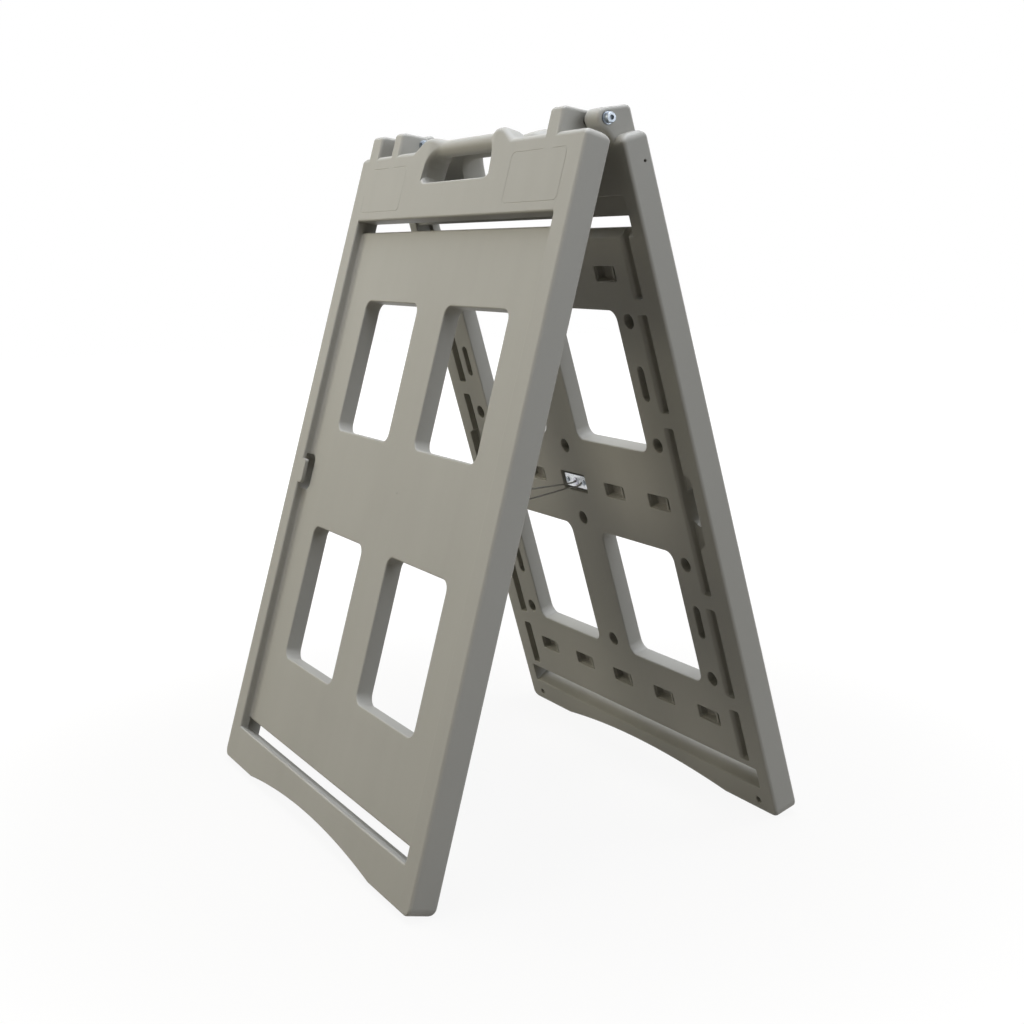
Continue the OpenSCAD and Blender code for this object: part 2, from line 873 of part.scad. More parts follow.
// Point at place s, counted in route points, on the smooth line through a route
function on_route(route, s) =
    let (
        last = len(route) - 1,
        i = min(floor(s), last - 1),
        t = s - i,
        b = route[i],
        c = route[i + 1],
        a = i == 0 ? 2 * b - c : route[i - 1],
        d = i == last - 1 ? 2 * c - b : route[i + 2]
    )
    0.5 * (2 * b + (c - a) * t + (2 * a - 5 * b + 4 * c - d) * t * t
        + (3 * b - a - 3 * c + d) * t * t * t);

// Eight-sided tube swept along the smooth line through a route
module cord(route, rings) {
    sides = 8;
    line = [for (i = [0 : rings - 1]) on_route(route, (len(route) - 1) * i / (rings - 1))];
    points = [
        for (i = [0 : rings - 1])
            let (
                ahead = line[min(i + 1, rings - 1)] - line[max(i - 1, 0)],
                along = ahead / norm(ahead),
                level = cross(along, [0, 0, 1]),
                side = level / norm(level),
                top = cross(side, along)
            )
            for (k = [0 : sides - 1])
                let (a = 360 * k / sides)
                line[i] + cord_d / 2 * (side * cos(a) + top * sin(a))
    ];
    faces = concat(
        [[for (k = [0 : sides - 1]) sides - 1 - k]],
        [
            for (i = [0 : rings - 2], k = [0 : sides - 1])
                let (p = i * sides + k, q = i * sides + (k + 1) % sides)
                each [[p, q, q + sides], [p, q + sides, p + sides]]
        ],
        [[for (k = [0 : sides - 1]) (rings - 1) * sides + k]]
    );
    polyhedron(points, [for (f = faces) [for (i = [len(f) - 1 : -1 : 0]) f[i]]]);
}

module upper_cord() { color("#7d7c75") cord(upper_route, 33); }

module lower_cord() { color("#55544e") cord(lower_route, 43); }

front_side();
rear_side();
left_bolt();
left_head_washer();
left_bush();
left_nut_washer();
left_lock_nut();
right_bolt();
right_head_washer();
right_bush();
right_nut_washer();
right_lock_nut();
front_anchor_plate();
front_eyelet();
front_anchor_screws();
rear_anchor_plate();
rear_eyelet();
rear_anchor_screws();
upper_cord();
lower_cord();
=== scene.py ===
import bmesh
import bpy
import numpy as np
from mathutils import Matrix, Vector


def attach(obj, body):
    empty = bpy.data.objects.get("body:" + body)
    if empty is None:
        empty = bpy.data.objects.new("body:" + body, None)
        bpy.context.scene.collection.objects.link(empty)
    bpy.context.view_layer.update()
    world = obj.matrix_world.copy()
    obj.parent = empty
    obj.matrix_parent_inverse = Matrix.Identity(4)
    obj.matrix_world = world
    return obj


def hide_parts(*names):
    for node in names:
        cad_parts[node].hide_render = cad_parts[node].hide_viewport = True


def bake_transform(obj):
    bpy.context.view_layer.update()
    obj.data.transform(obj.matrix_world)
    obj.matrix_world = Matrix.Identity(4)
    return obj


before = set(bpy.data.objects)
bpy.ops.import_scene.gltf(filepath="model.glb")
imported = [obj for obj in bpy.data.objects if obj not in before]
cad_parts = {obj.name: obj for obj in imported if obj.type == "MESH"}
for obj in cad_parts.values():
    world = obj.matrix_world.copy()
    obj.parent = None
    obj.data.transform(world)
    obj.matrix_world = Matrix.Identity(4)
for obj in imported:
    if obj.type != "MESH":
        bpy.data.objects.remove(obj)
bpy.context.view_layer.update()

# Camera
# The open sign is seen from the right of its front side, with the eye at four fifths of
# its height and tilted down a little, as a product photograph of it is taken. The view is
# nudged by half a degree about X and shifted, to lie as the photograph does.
eye = Vector((1.69487, -0.95288, 0.76882))
turn, tilt, nudge = np.radians(57.991), np.radians(-5.496), np.radians(-0.565)
sensor_mm, focal_px, picture_px = 36.0, 1385.1, 1024
ahead = Vector((-np.sin(turn) * np.cos(tilt), np.cos(turn) * np.cos(tilt), np.sin(tilt)))
right = Vector((np.cos(turn), np.sin(turn), 0.0))
camera = bpy.data.objects.new("camera", bpy.data.cameras.new("camera"))
camera.data.sensor_width = sensor_mm
camera.data.lens = sensor_mm * focal_px / picture_px
camera.data.shift_x = -0.0403
camera.data.shift_y = -0.1176
camera.data.clip_end = 50.0
camera.matrix_world = (
    Matrix.Translation(eye)
    @ Matrix.Rotation(nudge, 4, "X")
    @ Matrix((right, right.cross(ahead), -ahead)).transposed().to_4x4()
)
bpy.context.scene.collection.objects.link(camera)
bpy.context.scene.camera = camera

# Cord between the sides
# A thin braided cord stops the sides from spreading. Its upper strand leaves the eyelet of
# the rear anchor plate and goes into that of the front one. Its lower strand starts beside
# a screw, runs down across the plate and hangs a little slack to the other plate.
cord_d, cord_corners = 0.0026, 12
upper_route = np.array([
    (0, 151, 434), (0, 141, 431), (0, 130, 429), (0, 70, 427), (0, 0, 426),
    (0, -70, 427), (0, -130, 429), (0, -141, 431), (0, -151, 434),
]) / 1000
lower_route = np.array([
    (16.6, 141.3, 431), (11, 142.2, 427.5), (4, 143.2, 424), (-3, 142, 422), (-8, 134, 420.5),
    (-8, 110, 417), (-5, 60, 411), (0, 0, 408), (5, -60, 411), (8, -110, 417),
    (8, -134, 420.5), (3, -142, 422), (-4, -143.2, 424), (-11, -142.2, 427.5), (-16.6, -141.3, 431),
]) / 1000


def smooth_line(route, count):
    """Points on the line through route: between two points it is the cubic whose slope at
    each is half the step between that point's neighbours."""
    ends = np.vstack([2 * route[0] - route[1], route, 2 * route[-1] - route[-2]])
    s = np.linspace(0, len(route) - 1, count)
    i = np.minimum(s.astype(int), len(route) - 2)
    t = (s - i)[:, None]
    a, b, c, d = (ends[i + k] for k in range(4))
    square = 2 * a - 5 * b + 4 * c - d
    cube = 3 * b - a - 3 * c + d
    return 0.5 * (2 * b + (c - a) * t + square * t**2 + cube * t**3)


def skin(rings, closed=False):
    """Vertices and faces over a stack of rings, rings[i, j] being point j of ring i. Four
    points make a face between neighbours, and the first and last ring are closed by one
    face each, or joined to each other where closed is true."""
    k, n = rings.shape[:2]
    i = np.arange(k if closed else k - 1)[:, None] * n
    j = np.arange(n)[None, :]
    following = (i + n) % (k * n)
    a, b = i + j, i + (j + 1) % n
    c, d = following + (j + 1) % n, following + j
    faces = np.stack([a, b, c, d], -1).reshape(-1, 4).tolist()
    if not closed:
        faces += [list(range(n))[::-1], list(range((k - 1) * n, k * n))]
    return rings.reshape(-1, 3), faces


def solid(name, parts):
    """One object from (vertices, faces) parts, with every face turned outwards."""
    points, faces, base = [], [], 0
    for part_points, part_faces in parts:
        points.append(part_points)
        faces += [[base + v for v in face] for face in part_faces]
        base += len(part_points)
    mesh = bpy.data.meshes.new(name)
    mesh.from_pydata(np.vstack(points), [], faces)
    work = bmesh.new()
    work.from_mesh(mesh)
    bmesh.ops.recalc_face_normals(work, faces=work.faces)
    work.to_mesh(mesh)
    work.free()
    obj = bpy.data.objects.new(name, mesh)
    bpy.context.scene.collection.objects.link(obj)
    return obj


def strand(name, route, count):
    """Tube of round section along the smooth line through route: each ring lies in the
    plane of the line's level normal and the normal above it. Its map holds the run along
    the line in metres and the share of the way round."""
    line = smooth_line(route, count)
    along = np.gradient(line, axis=0)
    along /= np.linalg.norm(along, axis=1)[:, None]
    level = np.cross(along, [0, 0, 1.0])
    level /= np.linalg.norm(level, axis=1)[:, None]
    above = np.cross(level, along)
    a = np.linspace(0, 2 * np.pi, cord_corners, endpoint=False)[None, :, None]
    rings = line[:, None] + cord_d / 2 * (level[:, None] * np.cos(a) + above[:, None] * np.sin(a))
    obj = solid(name, [skin(rings)])
    obj.data.shade_smooth()
    run = np.concatenate([[0], np.cumsum(np.linalg.norm(np.diff(line, axis=0), axis=1))])
    point = np.empty(len(obj.data.loops), int)
    obj.data.loops.foreach_get("vertex_index", point)
    places = np.stack([run[point // cord_corners], (point % cord_corners) / cord_corners], 1)
    obj.data.uv_layers.new(name="run").data.foreach_set("uv", places.ravel())
    return obj, line, float(run[-1])


class Wire:
    """One output of a node. Sums, differences and products of wires and numbers are made
    with Math nodes, so a mask is written as an expression."""

    def __init__(self, tree, socket):
        self.tree = tree
        self.socket = socket

    def math(self, operation, first, second=0.0):
        node = self.tree.nodes.new("ShaderNodeMath")
        node.operation = operation
        for slot, value in zip(node.inputs, (first, second)):
            if isinstance(value, Wire):
                self.tree.links.new(value.socket, slot)
            else:
                slot.default_value = value
        return Wire(self.tree, node.outputs[0])

    def __add__(self, other):
        return self.math("ADD", self, other)

    def __radd__(self, other):
        return self.math("ADD", other, self)

    def __sub__(self, other):
        return self.math("SUBTRACT", self, other)

    def __rsub__(self, other):
        return self.math("SUBTRACT", other, self)

    def __mul__(self, other):
        return self.math("MULTIPLY", self, other)

    def __rmul__(self, other):
        return self.math("MULTIPLY", other, self)

    def sine(self):
        return self.math("SINE", self)

    def at_least(self, low):
        return self.math("MAXIMUM", self, low)

    def beside(self, output):
        """Another output of the same node."""
        return Wire(self.tree, self.socket.node.outputs[output])


class Nodes:
    """A node tree, and the one method that adds nodes to it."""

    def __init__(self, tree):
        self.tree = tree

    def fill(self, node, **inputs):
        """Sets or links inputs of a node: _0 is its first one, and Base_Color is a name."""
        for key, value in inputs.items():
            slot = node.inputs[int(key[1:]) if key[0] == "_" else key.replace("_", " ")]
            if isinstance(value, Wire):
                self.tree.links.new(value.socket, slot)
            else:
                slot.default_value = value

    def node(self, kind, settings=None, output=0, **inputs):
        """Adds a node with its settings and inputs, and gives the wire of one output."""
        made = self.tree.nodes.new("ShaderNode" + kind)
        for key, value in (settings or {}).items():
            if key == "stops":
                for stop, (place, colour) in zip(made.color_ramp.elements, value):
                    stop.position = place
                    stop.color = (*colour, 1)
            else:
                setattr(made, key, value)
        self.fill(made, **inputs)
        return Wire(self.tree, made.outputs[output])

    def seen(self):
        """1 for what the camera sees, straight, off a shiny surface or through a clear one,
        and 0 for what only lights a surface."""
        rays = self.node("LightPath", output="Is Camera Ray")
        return rays + rays.beside("Is Glossy Ray") + rays.beside("Is Transmission Ray")


class Finish(Nodes):
    """A material with a Principled shader, whose inputs are given by name."""

    def __init__(self, name, **inputs):
        self.material = bpy.data.materials.new(name)
        self.material.use_nodes = True
        super().__init__(self.material.node_tree)
        self.shader = self.tree.nodes["Principled BSDF"]
        self.feed(**inputs)

    def feed(self, **inputs):
        self.fill(self.shader, **inputs)

    def place(self, stretch=(1.0, 1.0, 1.0)):
        """Object coordinates, multiplied by a factor along each axis."""
        return self.node("Mapping", Vector=self.node("TexCoord", output="Object"), Scale=stretch)

    def noise(self, scale, detail, stretch=(1.0, 1.0, 1.0)):
        return self.node("TexNoise", Vector=self.place(stretch), Scale=scale, Detail=detail)

    def ramp(self, mask, low, low_colour, high, high_colour):
        """Colour that runs from one to the other while mask goes from low to high."""
        return self.node("ValToRGB", {"stops": [(low, low_colour), (high, high_colour)]}, Fac=mask)

    def dress(self, *objects):
        for obj in objects:
            obj.data.materials.clear()
            obj.data.materials.append(self.material)


def cord_finish(name, colour):
    """Braid: two sets of slanting waves cross along the cord's run. Its colour carries painted shade in
    the weave's hollows and a painted highlight on its crests, following the bump.
    """
    run_pitch, round_pitch = 2400.0, 18.85
    hollow_shade_share, crest_highlight_share = 0.6, 1.15
    braid = Finish(name, Roughness=0.85)
    along = braid.node("SeparateXYZ", Vector=braid.node("UVMap", {"uv_map": "run"}))
    around = along.beside("Y")
    one_way = (along * run_pitch + around * round_pitch).sine()
    other_way = (along * run_pitch - around * round_pitch).sine()
    weave = one_way * other_way * 0.5 + 0.5
    # The colour runs from painted shade in the weave's hollows to a painted highlight on its crests.
    braid.feed(Base_Color=braid.node(
        "Mix", {"data_type": "RGBA"}, output=2, _0=weave,
        _6=(*[hollow_shade_share * c for c in colour], 1), _7=(*[crest_highlight_share * c for c in colour], 1),
    ))
    braid.feed(Normal=braid.node("Bump", Strength=0.5, Distance=0.0002, Height=weave))
    return braid


upper, upper_line, upper_length = strand("upper_strand", upper_route, 60)
lower, lower_line, lower_length = strand("lower_strand", lower_route, 96)
cord_finish("braid_light", (0.42, 0.41, 0.375)).dress(upper)
cord_finish("braid_dark", (0.36, 0.352, 0.32)).dress(lower)
for piece, node, line, length in (
    (upper, "upper_cord", upper_line, upper_length),
    (lower, "lower_cord", lower_line, lower_length),
):
    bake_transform(piece)
    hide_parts(node)

# Sides
# Each side is one blow moulding in warm grey polyethylene: a slab 37 mm thick with its
# field sunk in the outer face, windows and slots right through, and blind tie holes,
# pockets and grooves in the inner face. Every edge that leaves the mould is rounded. The
# shapes are drawn in millimetres in the side's own frame: u across, w inwards, v up.
width, height, thick = 635.0, 942.0, 37.0
half_width, middle_w = width / 2, thick / 2
recess, field_u, field_foot, field_head = 13.0, 283.0, 52.0, 839.0
band_v, hand_half = 448.6, 98

# The hinge line lies half_gap inside the inner face, so that the folded sides keep twice
# that between them. axis_z is its height over the floor while the side stands on the round
# of its foot. Arms and shoulders start at buried_v, inside the header.
half_gap, foot_back_r, buried_v = 0.5, 7.0, 880.0
lean = np.radians(15.6)
axis_w, axis_v = thick + half_gap, height + 23.0
axis_z = foot_back_r + (axis_v - foot_back_r) * np.cos(lean) - (half_gap + foot_back_r) * np.sin(lean)
fork_outer, fork_inner, tongue = (-297, -263), (-219, -193), (222, 253)


def stood(points, rear=False):
    """Side coordinates in millimetres to the frame in metres: the side turns about the
    hinge line by the lean, and the rear one is then turned half round about Z."""
    p = np.asarray(points, float)
    y, z = p[..., 1] - axis_w, p[..., 2] - axis_v
    out = np.stack([
        p[..., 0],
        y * np.cos(lean) + z * np.sin(lean),
        axis_z - y * np.sin(lean) + z * np.cos(lean),
    ], -1) / 1000
    return out * np.array([-1, -1, 1]) if rear else out


def turn_of(x, y, r, a0, a1, count=7):
    """Points of an arc from angle a0 to a1, and the outward direction at each."""
    a = np.radians(np.linspace(a0, a1, count))
    n = np.stack([np.cos(a), np.sin(a)], 1)
    return np.array([x, y]) + r * n, n


def rounded(u, v, hu, hv, r, count=7):
    """Outline of a rectangle round (u, v) with half sizes hu and hv and corner radius r,
    with its outward directions."""
    arcs = [
        turn_of(u + sx * (hu - r), v + sy * (hv - r), r, a, a + 90, count)
        for sx, sy, a in ((1, -1, -90), (1, 1, 0), (-1, 1, 90), (-1, -1, 180))
    ]
    return np.vstack([a[0] for a in arcs]), np.vstack([a[1] for a in arcs])


def ringed(u, v, r, count=24):
    """Circle and its outward directions."""
    return turn_of(u, v, r, 0, 360 - 360 / count, count)


def polygon(corners, r, count=5):
    """Outline of a convex polygon, corners given anticlockwise, with corner radius r, and
    its outward directions: at each corner an arc about corner - r (a + b) / (1 + a.b), where
    a and b are the outward directions of the two sides that meet there."""
    p = np.array(corners, float)
    side = np.roll(p, -1, 0) - p
    n = np.stack([side[:, 1], -side[:, 0]], 1) / np.linalg.norm(side, axis=1)[:, None]
    arcs = []
    for i in range(len(p)):
        a, b = n[i - 1], n[i]
        centre = p[i] - r * (a + b) / (1 + a @ b)
        start, end = np.degrees(np.arctan2(a[1], a[0])), np.degrees(np.arctan2(b[1], b[0]))
        arcs.append(turn_of(*centre, r, start, end + 360 * (end < start), count))
    return np.vstack([a[0] for a in arcs]), np.vstack([a[1] for a in arcs])


def run_on(rows, share=0.3):
    """Moves the first row on, away from the second, by a share of their distance, so that
    a hole's tool ends just past the face."""
    rows[0] += share * (rows[0] - rows[1])
    return rows


def mouth(face, into, r, steps=4):
    """Rows of (offset, depth) where a hole's wall turns out into the face at depth face: a
    quarter circle of radius r, whose first row runs on just past the face. into is 1 where
    the hole goes to greater depth and -1 where it goes to less."""
    a = np.radians(np.linspace(0, 90, steps + 1))
    return run_on(np.stack([r * (1 - np.sin(a)), face + into * r * (1 - np.cos(a))], 1))


def pit(face, floor, r_face, r_floor, steps=4):
    """Rows of (offset, depth) for a blind hole: a rounded mouth, then a quarter circle from
    the wall into the floor."""
    into = np.sign(floor - face)
    a = np.radians(np.linspace(90, 0, steps + 1))
    low = np.stack([-r_floor * (1 - np.sin(a)), floor - into * r_floor * (1 - np.cos(a))], 1)
    return np.vstack([mouth(face, into, r_face, steps), low])


def bore(near, far, r_near, r_far, steps=4):
    """Rows of (offset, depth) for a hole through from near to far with two rounded mouths."""
    return np.vstack([mouth(near, 1, r_near, steps), mouth(far, -1, r_far, steps)[::-1]])


def plug(outline, rows):
    """Solid that fills a hole: the outline moved out by each row's offset at its depth."""
    p, n = outline
    flat = p[None] + rows[:, :1, None] * n[None]
    depth = np.broadcast_to(rows[:, 1][:, None], flat.shape[:2])
    return skin(np.stack([flat[..., 0], depth, flat[..., 1]], -1))


def soft_plug(outline, lip, floor=None, r_floor=0.0):
    """Solid that fills a blind hole in the inner face, or a hole through where floor is
    None. Its rounded mouth has the radius lip, which differs from point to point of the
    outline."""
    p, n = outline
    a = np.radians(np.linspace(0, 90, 7))[:, None]
    back, into = run_on(lip * (1 - np.sin(a))), run_on(lip * (1 - np.cos(a)))
    if floor is None:
        offset = np.vstack([back, back[::-1]])
        depth = np.vstack([into, thick - into[::-1]])
    else:
        toe = np.repeat(-r_floor * (1 - np.sin(a))[::-1], len(p), 1)
        toe_depth = np.repeat(floor + r_floor * (1 - np.cos(a))[::-1], len(p), 1)
        offset = np.vstack([back, toe])
        depth = np.vstack([thick - into, toe_depth])
    flat = p[None] + offset[..., None] * n[None]
    return skin(np.stack([flat[..., 0], depth, flat[..., 1]], -1))


def slab():
    """The slab: its outline stands in rings whose inset follows a quarter circle at the
    outer and the inner face. The radius blends from the stiles' to that of the top or
    bottom edge with the square of the outline's upward direction. The foot is hollowed
    between its two ends by an arch, a parabola."""
    arch_half, arch_rise = 205, 15
    foot_r, head_r, stile_r = 13, 10, 4.5
    foot_front_r, head_front_r, head_back_r = 2.0, 9.0, 13.0
    u = np.linspace(-arch_half, arch_half, 31)
    slope = -2 * arch_rise * u / arch_half**2
    arch = np.stack([u, arch_rise * (1 - (u / arch_half) ** 2)], 1)
    down = np.stack([slope, -np.ones_like(u)], 1) / np.hypot(slope, 1)[:, None]
    parts = [
        (arch, down),
        turn_of(half_width - foot_r, foot_r, foot_r, -90, 0, 9),
        turn_of(half_width - head_r, height - head_r, head_r, 0, 90, 9),
        turn_of(head_r - half_width, height - head_r, head_r, 90, 180, 9),
        turn_of(foot_r - half_width, foot_r, foot_r, 180, 270, 9),
    ]
    p, n = np.vstack([a for a, _ in parts]), np.vstack([b for _, b in parts])
    upright, at_head = n[:, 1] ** 2, n[:, 1] > 0
    outer = stile_r * (1 - upright) + np.where(at_head, head_front_r, foot_front_r) * upright
    inner = stile_r * (1 - upright) + np.where(at_head, head_back_r, foot_back_r) * upright
    a = np.radians(np.linspace(0, 90, 8))[:, None]
    rings = []
    for inset, depth in (
        (outer * (1 - np.sin(a)), outer * (1 - np.cos(a))),
        ((inner * (1 - np.sin(a)))[::-1], (thick - inner * (1 - np.cos(a)))[::-1]),
    ):
        flat = p[None] - inset[..., None] * n[None]
        rings.append(np.stack([flat[..., 0], depth, flat[..., 1]], -1))
    return skin(np.vstack(rings))


def holes():
    """The four windows, the blind tie holes round them and in the bands, two drain holes at
    the feet, a small vent, and the fine lines that frame both ends of the header."""
    window_u, window_v, window_hu, window_hv, window_r = 126.55, 171.5, 85.25, 98.5, 14
    tie_u, tie_r, tie_gap, long_hu, long_hv = 238.9, 10, 85.5, 7, 24
    middle_gaps, drain_u, drain_v, drain_r = (57.3, 257.0), 283, 18, 4.6
    vent_u, vent_v, vent_r = 25, 459, 1.1
    frame_in, frame_out, frame_foot, frame_head = 151.5, 283.5, 852, 920
    window = bore(recess, thick, 2.0, 2.2)
    tie = pit(thick, 17, 1.6, 3.0)
    parts = []
    for sx in (-1, 1):
        for v in (band_v - window_v, band_v + window_v):
            parts.append(plug(rounded(sx * window_u, v, window_hu, window_hv, window_r, 9), window))
            parts += [plug(ringed(sx * tie_u, v + gap, tie_r), tie) for gap in (-tie_gap, tie_gap)]
            parts.append(plug(rounded(sx * tie_u, v, long_hu, long_hv, long_hu - 0.1, 8), tie))
    parts += [plug(ringed(0, band_v + s * d, tie_r), tie) for s in (-1, 1) for d in middle_gaps]
    parts += [plug(ringed(s * drain_u, drain_v, drain_r), pit(thick, 29, 1.6, 0.6)) for s in (-1, 1)]
    parts.append(plug(ringed(vent_u, vent_v, vent_r, 12), pit(recess, 16, 0.3, 0.3, 2)))
    parts += [
        line_frame(u0, u1, frame_foot, frame_head)
        for u0, u1 in ((frame_in, frame_out), (-frame_out, -frame_in))
    ]
    return parts


def line_frame(u0, u1, v0, v1):
    """Fine line round a rectangle: a small four-sided section carried round it."""
    corner_r = 8
    p, n = rounded((u0 + u1) / 2, (v0 + v1) / 2, (u1 - u0) / 2, (v1 - v0) / 2, corner_r, 9)
    section = np.array([(-0.3, -0.2), (1.3, -0.2), (0.7, 0.35), (0.3, 0.35)])
    flat = p[:, None] - section[None, :, :1] * n[:, None]
    depth = np.broadcast_to(section[None, :, 1], flat.shape[:2])
    return skin(np.stack([flat[..., 0], depth, flat[..., 1]], -1), closed=True)


def pockets():
    """Oblong pockets in rows across the inner face. Each is shallow over a rib and deep on
    both sides of it. The band's row leaves out the middle one, where the anchor plate is."""
    pitch, foot_v, head_v, rib_floor, deep_floor = 105, 126.6, 769.0, 33, 22
    shallow_hu, shallow_hv, deep_hv = 23.5, 10.25, 9.9
    spots = [(i * pitch, v) for i in range(-2, 3) for v in (foot_v, head_v)]
    spots += [(i * pitch, band_v) for i in (-2, -1, 1, 2)]
    shallow = [
        plug(rounded(u, v, shallow_hu, shallow_hv, 2.5, 5), pit(thick, rib_floor, 1.5, 0.6))
        for u, v in spots
    ]
    deep = [
        plug(rounded(u + aside, v, deep_hu, deep_hv, r, 5), pit(rib_floor, deep_floor, 0.8, r_floor))
        for aside, deep_hu, r, r_floor in ((5.9, 17.3, 2.2, 2.0), (-18.9, 4.3, 2.0, 1.6))
        for u, v in spots
    ]
    return shallow, deep


def grooves():
    """Five grooves up the inner face of each stile, with bridges between them, and the wide
    bay of the middle one, whose ends slant. A groove's lip is sharp toward the stile's edge
    and soft toward the middle of the side."""
    groove_u, groove_half, groove_floor = 274, 8, 25
    runs = ((78.0, 152.5), (173.5, 304.0), (325.0, 562.0), (583.0, 715.3), (736.3, 836.0))
    bay = ((270, -57.5), (281, -57.5), (295, -44.5), (295, 44.5), (281, 51), (270, 51))
    narrow, wide = [], []
    for s in (-1, 1):
        for low, high in runs:
            run = rounded(s * groove_u, (low + high) / 2, groove_half, (high - low) / 2, 3.2, 6)
            lip = 1.0 + 5.0 * np.clip(-s * run[1][:, 0], 0, 1) ** 2
            narrow.append(soft_plug(run, lip, groove_floor, 3.0))
        outline = polygon([(s * u, band_v + v) for u, v in bay][::s], 2.5)
        wide.append(soft_plug(outline, np.full(len(outline[0]), 0.9), groove_floor, 2.2))
    return narrow, wide


def eased(t, r):
    """How far a wall stands back at distance t inside a face that it turns into with
    radius r: r - sqrt(r^2 - (r - t)^2), and a little more than r outside the face."""
    inside = np.clip(t, 0, r)
    back = r - np.sqrt(np.maximum(r**2 - (r - inside) ** 2, 0))
    return np.where(t < 0, r * 1.12, back)


def slot(low, high, low_from, high_from, kink_w):
    """Slot across the side: at each depth a rectangle between two sloping levels, which
    turn out into the outer face at their own depth and into the inner face. Behind the
    outer lip of the stiles the slot is longer at each end."""
    front_r, back_r, corner_r, behind, past, just_above = 3.0, 1.6, 2.0, 9.0, 0.3, 0.02
    step = 1 - np.cos(np.radians(np.linspace(0, 90, 5)))
    depths = np.concatenate([
        [-past], front_r * step, [recess - just_above], recess + front_r * step,
        [kink_w], thick - back_r * step, [thick + past],
    ])
    rings = []
    for w in np.unique(depths):
        end = field_u + (behind if w >= recess else 0.0)
        out = float(eased(thick - w, back_r))
        lo, hi = low(w) - out, high(w) + out
        lo -= float(eased(w - low_from, front_r)) if w > low_from - 0.5 else front_r
        hi += float(eased(w - high_from, front_r)) if w > high_from - 0.5 else front_r
        p, _ = rounded(0, (lo + hi) / 2, end + out, (hi - lo) / 2, corner_r, 4)
        rings.append(np.stack([p[:, 0], np.full(len(p), w), p[:, 1]], 1))
    return skin(np.array(rings))


def slots():
    """The slots under and over the field's panel. The panel's two edges rise inwards, and
    its upper one falls away behind a kink near the inner face. The foot bar's sill falls
    and the header's underside rises toward the inner face."""
    sill_fall, panel_foot_v, panel_head_v, kink_w, kink_fall = 13, 64.6, 824.5, 27.0, 12
    panel_slope, header_slope = np.tan(np.radians(9)), np.tan(np.radians(7))

    def sill(w):
        return field_foot - sill_fall * w / thick

    def panel_foot(w):
        return panel_foot_v + panel_slope * (max(w, recess) - recess)

    def panel_rise(w):
        return panel_head_v + panel_slope * (max(w, recess) - recess)

    def panel_head(w):
        if w < kink_w:
            return panel_rise(w)
        fall = panel_rise(thick) - kink_fall - panel_rise(kink_w)
        return panel_rise(kink_w) + fall * (w - kink_w) / (thick - kink_w)

    def header_foot(w):
        return field_head + header_slope * w

    return [
        slot(sill, panel_foot, 0.0, recess, kink_w),
        slot(panel_head, header_foot, recess, 0.0, kink_w),
    ]


def arm(u0, u1, r):
    """Arm or tongue of a hinge: its profile across the side, from the header up round the
    hinge line, in rings across u whose inset rounds the two ends by r. A hollow of radius
    root_r leads from the inner face into the barrel, and the nose slopes up to it."""
    root_v = height - 12.0
    barrel_r, nose_r, slope = 13.5, 7.0, 7.5
    rise = np.radians(slope)
    root_r = ((axis_v - root_v) ** 2 + half_gap**2 - barrel_r**2) / (2 * (barrel_r + half_gap))
    nose_v = axis_v - (nose_r - barrel_r + (axis_w - nose_r) * np.sin(rise)) / np.cos(rise)
    meet = np.degrees(np.arctan2(axis_v - root_v, axis_w - thick - root_r))
    nose = turn_of(nose_r, nose_v, nose_r, 180, 90 + slope, 8)
    barrel = turn_of(axis_w, axis_v, barrel_r, 90 + slope, meet - 180, 22)
    hollow = turn_of(thick + root_r, root_v, root_r, meet, 180, 10)
    p = np.vstack([[(0, buried_v)], nose[0], barrel[0], hollow[0], [(thick, buried_v)]])
    n = np.vstack([[(-1, 0)], nose[1], barrel[1], -hollow[1], [(1, 0)]])
    a = np.radians(np.linspace(0, 90, 5))
    inset = np.concatenate([r * (1 - np.sin(a)), (r * (1 - np.sin(a)))[::-1]])
    u = np.concatenate([u0 + r * (1 - np.cos(a)), (u1 - r * (1 - np.cos(a)))[::-1]])
    flat = p[None] - inset[:, None, None] * n[None]
    across = np.broadcast_to(u[:, None], flat.shape[:2])
    return skin(np.stack([across, flat[..., 0], flat[..., 1]], -1))


def blend_up(x, x0, x1):
    """Smooth step 3t^2 - 2t^3 from 0 at x0 to 1 at x1."""
    t = np.clip((x - x0) / (x1 - x0), 0, 1)
    return t * t * (3 - 2 * t)


